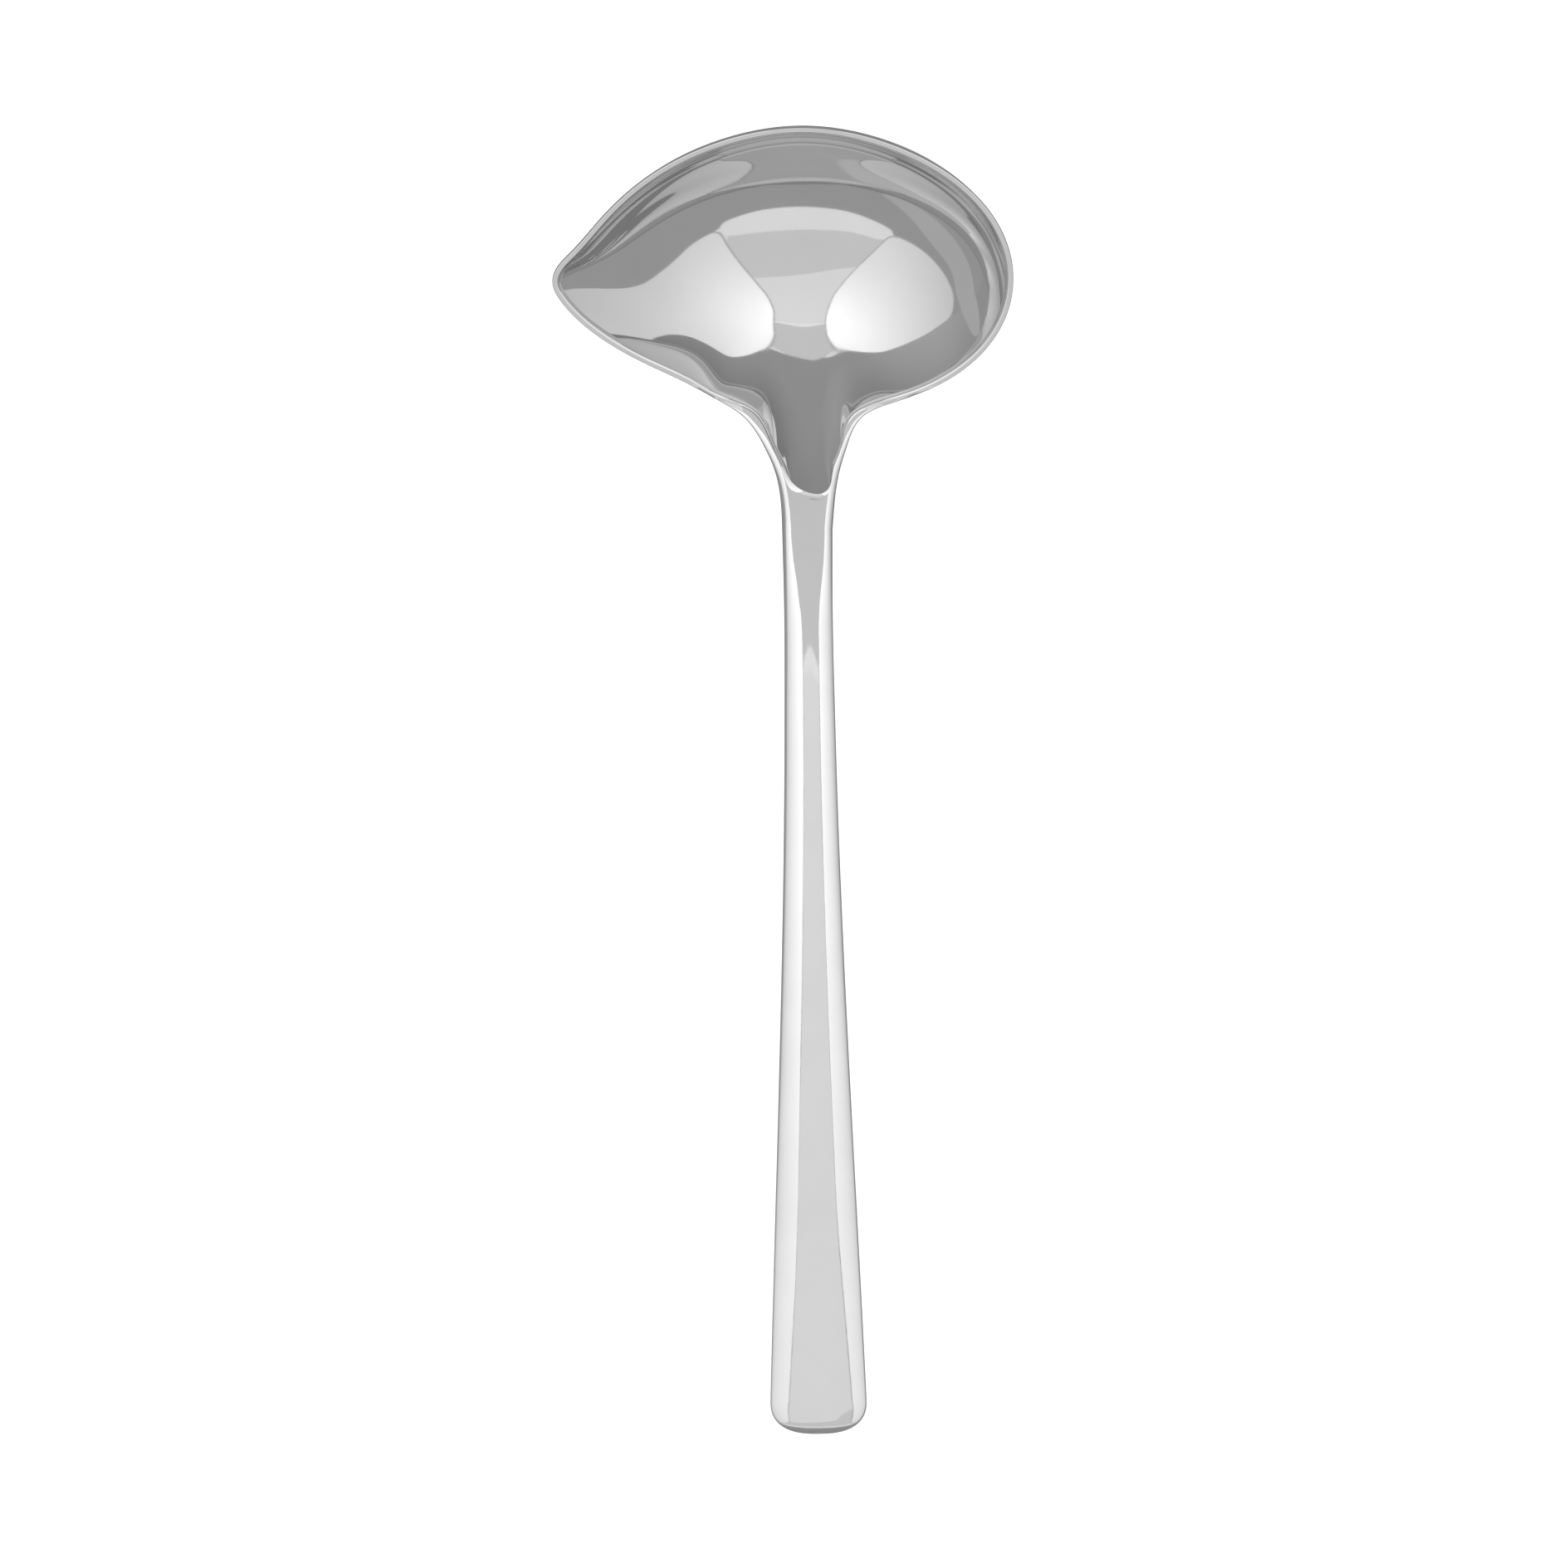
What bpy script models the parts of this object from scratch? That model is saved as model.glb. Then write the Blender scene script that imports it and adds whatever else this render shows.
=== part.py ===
"""Sauce ladle with a pouring lip on the left of its bowl, lying on a table.

Two pieces are brazed together at the neck: a thin bowl with its lip and its hollowed neck, and a
solid tapered handle. The handle lies along -Y, the bowl at +Y, the lip points along -X and the
table is the plane z = 0. Every length is in metres.
"""

import math

import bmesh
import bpy
import numpy as np

# Bowl, measured in the plane of its rim from the bowl's axis, which stands on the handle line
RIGHT_REACH = 0.0297
LIP_REACH = 0.0356
FAR_REACH = 0.0257
NEAR_REACH = 0.0192
BOWL_DEPTH = 0.0122
WALL = 0.0012
WALL_SWEEP = math.radians(80)  # how far round its arc the wall has turned at the far rim
NEAR_SWEEP = math.radians(58)  # and at the near rim, where it runs out flatter to the neck
BOWL_TILT = math.radians(28)  # the far side of the rim is raised by this when the ladle lies down
REACH_EASE = 3  # the higher, the nearer the rim the wall starts to run out into lip and neck
RISE_EASE = 3.6  # the same for the climb into the neck
EVENING = math.radians(24)  # how widely lip and neck blend into the bowl at its floor
RIM_WIDTH = 0.0010
RIM_CROWN = 0.0004  # height of the rim's rounded top over its outer edge
FOOT_CUT = 0.0004  # taken off the underside to leave a flat to rest on

# Neck, from the bowl's rim up to the joint with the handle
JOINT_DISTANCE = 0.0335  # bowl's axis to the joint, seen from above
JOINT_HEIGHT = -0.0068  # of the neck's edge line there, above the centre of the bowl's opening
JOINT_GAP = 0.0003
NECK_ROOT_HALF_WIDTH = 0.0122
SLOPE_AT_RIM = -0.15  # of the neck's edge where it runs into the rim
HOLLOW_CHAMFER = 0.0001
BELLY_SHARE = 0.8  # of the neck's half width, where its side turns into its underside
BELLY_ROOT_FADE = (1, 0.94, 0.78, 0.5, 0.22)  # how much of that side is left at each neck knot
KNEE_LENGTH = 0.0155  # of the neck's underside that is lifted to meet the handle with no corner
KNEE_SLOPE = 0.74  # how much that takes off the slope of the underside at the joint

# Handle
HANDLE_LENGTH = 0.1284
JOINT_WIDTH = 0.00716
WAIST_WIDTH = 0.0069
END_WIDTH = 0.0140
JOINT_THICKNESS = 0.0044
WAIST_THICKNESS = 0.0046
END_THICKNESS = 0.0034
TAPER_SHARES = (0.0, 0.085, 0.22, 1.0)  # of the length, at the joint, the waist twice and the end
WAIST_SPREAD = 1.05  # how much wider the waist's second place is
RISE_AT_JOINT = 0.14  # slope of the handle where it leaves the neck, upwards
FALL_AT_END = 0.18  # slope of the handle at its end, downwards
END_ROUNDING = 0.0050
END_POWER = 2.5  # outline of the rounded end: 2 is an ellipse, more is squarer

# The neck's and the handle's section, as the power of its curve: 2 is an ellipse, more is squarer
SECTION_POWER = 6.0
# The handle also has a broad crown and upright sides, which grow from none at the joint
CROWN_SLOPE = 0.27  # of the crown, at the handle's edges
CROWN_LIMIT = 0.4  # of the half thickness
SIDE_SHARE = 0.35  # of the half thickness
GROWTH_SHARE = 0.12  # of the length, from the joint to the fully grown section

COLUMNS_PER_SPAN = 4
BOWL_RINGS = 14
BAND_ROWS = 4
BELLY_ROWS = 2
HANDLE_STATIONS = 34
CAP_STATIONS = 9
SECTION_POINTS = 28

SILVER = (0.86, 0.86, 0.85, 1.0)

# The rim's outer edge in shares of the four reaches, from the neck's right root round by the far
# side and the lip to its left root
RIM_SHARES = (
    (0.411, -0.925),
    (0.660, -0.759),
    (0.862, -0.492),
    (0.976, -0.144),
    (0.990, 0.155),
    (0.906, 0.433),
    (0.675, 0.724),
    (0.366, 0.916),
    (0.000, 1.000),
    (-0.317, 0.926),
    (-0.577, 0.749),
    (-0.787, 0.487),
    (-0.927, 0.254),
    (-0.991, 0.137),
    (-1.000, 0.080),
    (-0.966, -0.058),
    (-0.857, -0.289),
    (-0.622, -0.588),
    (-0.478, -0.733),
    (-0.343, -0.890),
)
# The neck's sides from the joint to the rim: shares of the way along, and of the flare
NECK_ALONG = (0.0, 0.197, 0.449, 0.646, 0.876)
NECK_RIGHT = (0.0, 0.037, 0.121, 0.248, 0.484)
NECK_LEFT = (0.0, 0.014, 0.105, 0.282, 0.617)
# The hollow's edge on each side and at its blunt end: share of the way along, of the half width
HOLLOW_RIGHT = ((0.288, 0.557), (0.331, 0.760), (0.444, 0.793), (0.624, 0.866), (0.871, 0.825))
HOLLOW_LEFT = ((0.320, 0.310), (0.376, 0.554), (0.478, 0.690), (0.629, 0.777), (0.904, 0.770))
HOLLOW_END = (0.290, 0.100)


def spline(knots, per_span, closed=False):
    """A curvature-continuous curve through the knots, with per_span points from each to the next."""
    knots = np.array(knots, float)
    if closed:
        knots = np.vstack([knots, knots[:1]])
    spans = np.linalg.norm(np.diff(knots, axis=0), axis=1)
    count = len(spans)
    system = np.zeros((count + 1, count + 1))
    target = np.zeros((count + 1, knots.shape[1]))
    chords = np.diff(knots, axis=0) / spans[:, None]
    for i in range(1, count):
        system[i, i - 1 : i + 2] = spans[i - 1], 2 * (spans[i - 1] + spans[i]), spans[i]
        target[i] = 6 * (chords[i] - chords[i - 1])
    if closed:
        system[0, [0, count]] = 1, -1
        system[count, [0, 1]] = 2 * spans[0], spans[0]
        system[count, [count - 1, count]] = spans[-1], 2 * spans[-1]
        target[count] = 6 * (chords[0] - chords[-1])
    else:
        system[0, 0] = system[count, count] = 1
    bends = np.linalg.solve(system, target)
    points = []
    for i, span in enumerate(spans):
        for share in np.arange(per_span) / per_span:
            back = 1 - share
            line = back * knots[i] + share * knots[i + 1]
            bow = (back**3 - back) * bends[i] + (share**3 - share) * bends[i + 1]
            points.append(line + bow * span**2 / 6)
    if not closed:
        points.append(knots[-1])
    return np.array(points)


def smooth(share):
    return share**2 * (3 - 2 * share)


def eased(values, per_span):
    """Values round a closed loop, going from each to the next with no corner at either."""
    values = np.array(values, float)
    share = smooth(np.arange(per_span) / per_span)
    return (values[:, None] + (np.roll(values, -1) - values)[:, None] * share).ravel()


def hermite(start, start_slope, end, end_slope, length, share):
    """Height at a share of the way along a cubic with the given slopes at its two ends."""
    rise = start_slope * (share - 2 * share**2 + share**3) + end_slope * (share**3 - share**2)
    return start + (end - start) * smooth(share) + length * rise


def through(shares, values, share):
    """Cubic through the values with the slope at each set by its two neighbours."""
    slopes = np.gradient(values, shares)
    i = int(np.clip(np.searchsorted(shares, share, side="right") - 1, 0, len(shares) - 2))
    length = shares[i + 1] - shares[i]
    part = (share - shares[i]) / length
    return hermite(values[i], slopes[i], values[i + 1], slopes[i + 1], length, part)


def oval(share, power=SECTION_POWER):
    """Height of a section with a crown of 1 at a share of its half width."""
    return (1 - np.clip(np.abs(share), 0, 1) ** power) ** (1 / power)


def from_rim(points):
    """From the tilted rim's own axes to upright ones, both with their origin in the opening."""
    across, along, up = np.moveaxis(np.asarray(points, float), -1, 0)
    cos, sin = math.cos(BOWL_TILT), math.sin(BOWL_TILT)
    return np.stack([across, along * cos - up * sin, along * sin + up * cos], axis=-1)


def to_rim(points):
    across, along, up = np.moveaxis(np.asarray(points, float), -1, 0)
    cos, sin = math.cos(BOWL_TILT), math.sin(BOWL_TILT)
    return np.stack([across, along * cos + up * sin, up * cos - along * sin], axis=-1)


def rim_knots():
    """The rim's outer edge, flat in its own plane."""
    knots = []
    for across, along in RIM_SHARES:
        reach = RIGHT_REACH if across > 0 else LIP_REACH
        depth = FAR_REACH if along > 0 else NEAR_REACH
        knots.append((across * reach, along * depth, -RIM_CROWN))
    knots[0] = (NECK_ROOT_HALF_WIDTH, knots[0][1], -RIM_CROWN)
    knots[-1] = (-NECK_ROOT_HALF_WIDTH, knots[-1][1], -RIM_CROWN)
    return from_rim(knots)


def neck_height(root, along):
    """Height of the neck's edge at a share of the way from the joint to its root in the rim."""
    run = JOINT_DISTANCE + root[1]
    return hermite(JOINT_HEIGHT, -RISE_AT_JOINT, root[2], SLOPE_AT_RIM, run, along)


def neck_crown(along):
    """Height of the neck's middle over its edge, from the handle's down to the rim's."""
    return JOINT_THICKNESS / 2 + (RIM_CROWN - JOINT_THICKNESS / 2) * smooth(along)


def neck_side(root, flares):
    """One side of the neck from the joint to the knot before its root, wider by each flare."""
    side = math.copysign(1, root[0])
    run = JOINT_DISTANCE + root[1]
    half = JOINT_WIDTH / 2
    knots = []
    for along, flare in zip(NECK_ALONG, flares):
        across = side * (half + flare * (abs(root[0]) - half))
        knots.append((across, along * run - JOINT_DISTANCE, neck_height(root, along)))
    return knots


def across_share(points, sides):
    """How far out each point is from the neck's middle, as a share of the half width there."""
    right, left = sides
    right_half = np.interp(points[..., 1], right[:, 1], right[:, 0])
    left_half = -np.interp(points[..., 1], left[:, 1], left[:, 0])
    half = np.where(points[..., 0] > 0, right_half, left_half)
    return np.clip(np.abs(points[..., 0]) / half, 0, 1)


def neck_top(points, sides):
    """Height of the neck's crowned top over each point seen from above."""
    root = sides[0][-1]
    along = np.clip((points[:, 1] + JOINT_DISTANCE) / (JOINT_DISTANCE + root[1]), 0, 1)
    return neck_height(root, along) + neck_crown(along) * oval(across_share(points, sides))


def hollow_side(root, side, shares):
    """One side of the hollow's edge, on the neck's crowned top."""
    run = JOINT_DISTANCE + root[1]
    knots = []
    for along, share in shares:
        y = along * run - JOINT_DISTANCE
        half = np.interp(y, side[:, 1], side[:, 0])
        up = neck_height(root, along) + neck_crown(along) * oval(share)
        knots.append((share * half, y, up))
    return knots


def inward(edge):
    """Unit steps in from a closed edge, square to it and level with the rim."""
    flat = to_rim(edge)
    step = (np.roll(flat, -1, axis=0) - np.roll(flat, 1, axis=0))[:, :2]
    step /= np.linalg.norm(step, axis=1)[:, None]
    return from_rim(np.stack([-step[:, 1], step[:, 0], np.zeros(len(step))], axis=1))


def base_reach(turn, wall):
    """Reach of the plain oval that the bowl has under its lip and neck, in one direction."""
    half_across = RIGHT_REACH - RIM_WIDTH + wall
    half_along = (FAR_REACH + NEAR_REACH) / 2 - RIM_WIDTH + wall
    shift = (FAR_REACH - NEAR_REACH) / 2
    cos, sin = np.cos(turn), np.sin(turn)
    square = (cos / half_across) ** 2 + (sin / half_along) ** 2
    middle = sin * shift / half_along**2
    rest = (shift / half_along) ** 2 - 1
    return (middle + np.sqrt(middle**2 - square * rest)) / square


def evened(turn, values, share):
    """The edge's values as the surface feels them further in, evened out around the bowl."""
    if share == 1:
        return values
    around = np.arange(0, 2 * math.pi, math.radians(0.5))
    order = np.argsort(turn)
    dense = np.interp(around, turn[order], values[order], period=2 * math.pi)
    apart = (around[None, :] - turn[:, None] + math.pi) % (2 * math.pi) - math.pi
    weights = np.exp(-((apart / (EVENING * (1 - share))) ** 2) / 2)
    return weights @ dense / weights.sum(axis=1)


def shell(edge, wall):
    """The middle of the bowl's floor, and rings from it out to the edge."""
    edge = to_rim(edge)
    turn = np.arctan2(edge[:, 1], edge[:, 0])
    reach = np.hypot(edge[:, 0], edge[:, 1])
    base = base_reach(turn, wall)
    depth = BOWL_DEPTH + wall
    sweep = WALL_SWEEP + (NEAR_SWEEP - WALL_SWEEP) * ((1 - np.sin(turn)) / 2) ** 2
    full = 1 - np.cos(sweep)
    rings = []
    for share in np.arange(1, BOWL_RINGS + 1) / BOWL_RINGS:
        angle = share * sweep
        drawn = evened(turn, reach - base, share) * share**REACH_EASE
        raised = evened(turn, edge[:, 2], share) * share**RISE_EASE
        out = base * np.sin(angle) / np.sin(sweep) + drawn
        up = depth * ((1 - np.cos(angle)) / full - 1) + raised
        rings.append(np.stack([out * np.cos(turn), out * np.sin(turn), up], axis=1))
    return from_rim((0.0, 0.0, -depth)), from_rim(rings)


def round_loop(right, rim, left, end):
    """A value for each column: along the neck's right, the rim, the neck's left and the end."""
    return eased([*right, *[rim] * len(RIM_SHARES), *left[::-1], end], COLUMNS_PER_SPAN)


def knee(points, sides):
    """How far the neck's underside is lifted, so that it leaves the handle with no corner."""
    share = np.clip((points[..., 1] + JOINT_DISTANCE) / KNEE_LENGTH, 0, 1)
    lift = KNEE_SLOPE * KNEE_LENGTH * share * (1 - share) ** 2
    return lift * (1 - across_share(points, sides) ** 8)


def outer_line(rim):
    """The outer edge from above, closed across the joint, and the shares across of the joint."""
    right = neck_side(rim[0], NECK_RIGHT)
    left = neck_side(rim[-1], NECK_LEFT)
    turns = np.linspace(-1, 1, 2 * COLUMNS_PER_SPAN + 1)[1:-1]
    shares = np.sin(turns * math.pi / 2)
    joint = np.full((len(shares), 3), (0.0, -JOINT_DISTANCE, JOINT_HEIGHT))
    joint[:, 0] = shares * JOINT_WIDTH / 2
    edge = spline([*right, *rim, *left[::-1]], COLUMNS_PER_SPAN)
    sides = (
        spline([*right, rim[0]], COLUMNS_PER_SPAN),
        spline([*left, rim[-1]], COLUMNS_PER_SPAN),
    )
    return np.vstack([edge, joint]), shares, sides


def crest_line(rim, edge, sides):
    """The top of the rim and the hollow's edge, as one closed line."""
    first = len(NECK_ALONG)
    at = np.arange(first, first + len(rim)) * COLUMNS_PER_SPAN
    top = edge[at] + inward(edge)[at] * RIM_WIDTH / 2 + from_rim((0.0, 0.0, RIM_CROWN))
    right = hollow_side(rim[0], sides[0], HOLLOW_RIGHT)
    left = hollow_side(rim[-1], sides[1], HOLLOW_LEFT)
    end = hollow_side(rim[0], sides[0], [HOLLOW_END])
    return spline([*right, *top, *left[::-1], *end], COLUMNS_PER_SPAN, closed=True)


def band_rows(crest, edge, sides, shares, up, upright):
    """Rows from the crest out over the rim and over the neck's crowned top to the outer edge."""
    neck_half_shares = [[share for _, share in side[:-1]] for side in (HOLLOW_RIGHT, HOLLOW_LEFT)]
    right_shares, left_shares = ([*side, side[-1] / 2] for side in neck_half_shares)
    crest_share = round_loop(right_shares, 0.0, left_shares, HOLLOW_END[1])
    right_crowns, left_crowns = (
        [neck_crown(along) for along, _ in side] for side in (HOLLOW_RIGHT, HOLLOW_LEFT)
    )
    crest_crown = round_loop(right_crowns, RIM_CROWN, left_crowns, neck_crown(HOLLOW_END[0]))
    crowns = [neck_crown(along) for along in NECK_ALONG]
    edge_crown = round_loop(crowns, RIM_CROWN, crowns, JOINT_THICKNESS / 2)
    edge_share = np.ones(len(edge))
    edge_share[-len(shares) :] = np.abs(shares)
    base = crest - up * (crest_crown * oval(crest_share))[:, None]
    rows = []
    for part in np.sin(np.linspace(0, math.pi / 2, BAND_ROWS + 1))[1:]:
        share = crest_share + (edge_share - crest_share) * part
        crown = crest_crown + (edge_crown - crest_crown) * part
        row = base + (edge - base) * part + up * (crown * oval(share))[:, None]
        row[:, 2] += upright * (neck_top(row, sides) - row[:, 2])
        rows.append(row)
    return rows


def belly_rows(edge, top, shares, up, upright):
    """Rows from the outer edge in under the neck's sides, and down the flat face of the joint."""
    joint = slice(len(edge) - len(shares), len(edge))
    fade = np.array(BELLY_ROOT_FADE)
    halves = list(JOINT_WIDTH / 2 * fade)
    half = round_loop(halves, RIM_WIDTH / 4, halves, JOINT_WIDTH / 2)[:, None]
    depths = list(JOINT_THICKNESS / 2 * fade)
    deep = round_loop(depths, RIM_CROWN / 2, depths, JOINT_THICKNESS / 2)[:, None]
    across = np.zeros_like(edge)
    across[:, 0] = -np.sign(edge[:, 0])
    step = inward(edge) * (1 - upright)[:, None] + across * upright[:, None]
    length = np.linalg.norm(step, axis=1)
    step[length > 0] /= length[length > 0][:, None]
    bottom = edge[joint] * (BELLY_SHARE, 1, 1)
    bottom[:, 2] -= JOINT_THICKNESS / 2 * oval(shares * BELLY_SHARE)
    rows = []
    for turn in np.linspace(0, 1, BELLY_ROWS + 1)[1:]:
        share = 1 - (1 - BELLY_SHARE) * (1 - math.cos(turn * math.pi / 2))
        row = edge + step * half * (1 - share) - up * deep * oval(share)
        row[joint] = top[joint] + (bottom - top[joint]) * turn
        rows.append(row)
    return rows


def bowl_rows():
    """The middle of the inside, every ring from there over the rim, and the outside's middle."""
    rim = rim_knots()
    edge, shares, sides = outer_line(rim)
    crest = crest_line(rim, edge, sides)
    uprights = [1.0] * (len(NECK_ALONG) - 1) + [0.6]
    upright = round_loop(uprights, 0.0, uprights, 1.0)
    up = np.outer(upright, (0.0, 0.0, 1.0)) + np.outer(1 - upright, from_rim((0.0, 0.0, 1.0)))
    up /= np.linalg.norm(up, axis=1)[:, None]
    chamfers = [HOLLOW_CHAMFER] * (len(NECK_ALONG) - 1) + [RIM_WIDTH / 4]
    chamfer = round_loop(chamfers, RIM_WIDTH / 2, chamfers, HOLLOW_CHAMFER)[:, None]
    inner_edge = crest + (inward(crest) - up * 0.8) * chamfer
    floor, inside = shell(inner_edge, 0.0)
    rows = [*inside, crest, *band_rows(crest, edge, sides, shares, up, upright)]
    rows += belly_rows(edge, rows[-1], shares, up, upright)
    bottom, outside = shell(rows[-1], WALL)
    outside = outside[::-1][1:]
    outside[..., 2] += knee(outside, sides)
    return floor, np.array([*rows, *outside]), bottom


def loft(rows, first, last):
    """Closed mesh through rows of points, ending at a middle point or, for None, in a flat face."""
    mesh = bmesh.new()
    rings = [[mesh.verts.new(point) for point in row] for row in rows]
    around = len(rings[0])
    for low, high in zip(rings, rings[1:]):
        for i in range(around):
            j = (i + 1) % around
            mesh.faces.new((low[i], low[j], high[j], high[i]))
    for ring, middle in ((rings[0], first), (rings[-1], last)):
        if middle is None:
            mesh.faces.new(ring)
            continue
        centre = mesh.verts.new(middle)
        for i in range(around):
            mesh.faces.new((ring[i], ring[(i + 1) % around], centre))
    bmesh.ops.recalc_face_normals(mesh, faces=mesh.faces)
    return mesh


def handle_size(distance, end_height):
    """Half width, half thickness and height of the handle's section at a distance from the joint."""
    share = distance / HANDLE_LENGTH
    height = hermite(
        JOINT_HEIGHT, RISE_AT_JOINT, end_height, -FALL_AT_END, HANDLE_LENGTH, share
    )
    widths = (JOINT_WIDTH, WAIST_WIDTH, WAIST_WIDTH * WAIST_SPREAD, END_WIDTH)
    thicknesses = (JOINT_THICKNESS, WAIST_THICKNESS, WAIST_THICKNESS, END_THICKNESS)
    half_width = through(TAPER_SHARES, widths, share) / 2
    half_thickness = through(TAPER_SHARES, thicknesses, share) / 2
    left = HANDLE_LENGTH - distance
    if left < END_ROUNDING:
        half_width *= oval(1 - left / END_ROUNDING, END_POWER)
    if left < half_thickness:
        half_thickness *= oval(1 - left / half_thickness, 2)
    return half_width, half_thickness, height


def handle_section(distance, end_height):
    """Closed section: upright sides, rounded edges and a broad crown over and under."""
    half_width, half_thickness, height = handle_size(distance, end_height)
    grown = smooth(min(distance / (GROWTH_SHARE * HANDLE_LENGTH), 1.0))
    side = SIDE_SHARE * half_thickness * grown
    crown = min(CROWN_SLOPE / 2 * half_width, CROWN_LIMIT * half_thickness) * grown
    angles = np.arange(SECTION_POINTS) * 2 * math.pi / SECTION_POINTS
    cos, sin = np.round(np.cos(angles), 12), np.round(np.sin(angles), 12)
    across = np.sign(cos) * np.abs(cos) ** (2 / SECTION_POWER)
    edge = (half_thickness - side - crown) * np.abs(sin) ** (2 / SECTION_POWER)
    up = np.sign(sin) * (side + edge + crown * (1 - across**2))
    along = np.full(SECTION_POINTS, -JOINT_DISTANCE - distance)
    return np.stack([across * half_width, along, height + up], axis=1)


def handle_mesh(end_height):
    """Loft of sections along the arched handle, drawn in to a rounded end."""
    straight = np.linspace(JOINT_GAP, HANDLE_LENGTH - END_ROUNDING, HANDLE_STATIONS)
    turn = np.linspace(0, math.pi / 2, CAP_STATIONS)[1:-1]
    rounded = HANDLE_LENGTH - END_ROUNDING * (1 - np.sin(turn))
    rows = []
    for distance in (*straight, *rounded):
        rows.append(handle_section(distance, end_height))
    tip = (0.0, -JOINT_DISTANCE - HANDLE_LENGTH, handle_size(rounded[-1], end_height)[2])
    return loft(rows, None, tip)


def silver():
    material = bpy.data.materials.new("polished_silver")
    material.use_nodes = True
    shader = material.node_tree.nodes["Principled BSDF"]
    shader.inputs["Base Color"].default_value = SILVER
    shader.inputs["Metallic"].default_value = 1.0
    shader.inputs["Roughness"].default_value = 0.06
    return material


def place(name, mesh, collection, offset):
    """One named object from the mesh, moved by the offset, with its own silver."""
    bmesh.ops.translate(mesh, verts=mesh.verts, vec=offset)
    data = bpy.data.meshes.new(name)
    mesh.to_mesh(data)
    mesh.free()
    data.shade_smooth()
    data.set_sharp_from_angle(angle=math.radians(40))
    data.materials.append(silver())
    piece = bpy.data.objects.new(name, data)
    collection.objects.link(piece)
    return piece


def table_cutter(collection):
    """Block whose top is the table, which grinds the flat on the bowl's underside."""
    mesh = bmesh.new()
    bmesh.ops.create_cube(mesh, size=0.2)
    bmesh.ops.translate(mesh, verts=mesh.verts, vec=(0, 0, -0.1))
    data = bpy.data.meshes.new("table_cutter")
    mesh.to_mesh(data)
    mesh.free()
    cutter = bpy.data.objects.new("table_cutter", data)
    cutter.hide_render = True
    cutter.display_type = "WIRE"
    collection.objects.link(cutter)
    return cutter


def lowest(mesh):
    return min(vert.co.z for vert in mesh.verts)


def main():
    for old in list(bpy.data.objects):
        bpy.data.objects.remove(old)
    ladle = bpy.data.collections.new("sauce_ladle")
    cutters = bpy.data.collections.new("cutters")
    bpy.context.scene.collection.children.link(ladle)
    bpy.context.scene.collection.children.link(cutters)

    floor, rows, bottom = bowl_rows()
    bowl = loft(rows, floor, bottom)
    table = lowest(bowl) + FOOT_CUT
    end_height = table + END_THICKNESS / 2
    trial = handle_mesh(end_height)
    handle = handle_mesh(end_height + table - lowest(trial))
    trial.free()
    corners = np.array([vert.co for vert in (*bowl.verts, *handle.verts)])
    middle = (corners.min(axis=0) + corners.max(axis=0)) / 2
    offset = (-middle[0], -middle[1], -table)

    bowl_piece = place("bowl", bowl, ladle, offset)
    place("handle", handle, ladle, offset)
    flat = bowl_piece.modifiers.new("foot", "BOOLEAN")
    flat.operation = "DIFFERENCE"
    flat.object = table_cutter(cutters)


main()
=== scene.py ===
import math

import bpy
import numpy as np
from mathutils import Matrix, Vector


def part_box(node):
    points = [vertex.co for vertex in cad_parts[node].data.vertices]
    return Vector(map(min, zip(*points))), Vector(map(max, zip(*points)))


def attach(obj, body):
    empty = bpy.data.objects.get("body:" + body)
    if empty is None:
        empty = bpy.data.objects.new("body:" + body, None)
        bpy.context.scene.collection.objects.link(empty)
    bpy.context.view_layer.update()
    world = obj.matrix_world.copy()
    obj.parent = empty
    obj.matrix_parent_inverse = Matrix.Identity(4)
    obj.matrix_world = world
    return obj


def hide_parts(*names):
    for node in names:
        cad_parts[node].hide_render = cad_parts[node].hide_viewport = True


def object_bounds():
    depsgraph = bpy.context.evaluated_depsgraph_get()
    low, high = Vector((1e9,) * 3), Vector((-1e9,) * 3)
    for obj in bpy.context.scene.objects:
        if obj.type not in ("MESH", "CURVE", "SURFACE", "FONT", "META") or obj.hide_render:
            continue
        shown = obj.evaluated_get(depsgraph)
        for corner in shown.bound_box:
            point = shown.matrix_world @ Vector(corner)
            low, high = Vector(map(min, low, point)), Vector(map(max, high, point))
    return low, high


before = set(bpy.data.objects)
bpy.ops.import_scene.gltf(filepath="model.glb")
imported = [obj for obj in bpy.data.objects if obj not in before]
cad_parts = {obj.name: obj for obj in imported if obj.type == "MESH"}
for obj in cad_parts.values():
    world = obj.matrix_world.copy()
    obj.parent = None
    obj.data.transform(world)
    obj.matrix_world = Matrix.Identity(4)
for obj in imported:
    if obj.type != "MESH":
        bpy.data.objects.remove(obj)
cad_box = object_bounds()

# ---- Bowl ----
# A shell raised from silver sheet about 1.2 mm thick: a tilted oval bowl with a pouring lip on its
# left, and a hollowed neck that climbs out of its near side. It is brazed to the handle at the
# top of the neck, where the joint is filed flush, and ground flat underneath where it rests.

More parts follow.
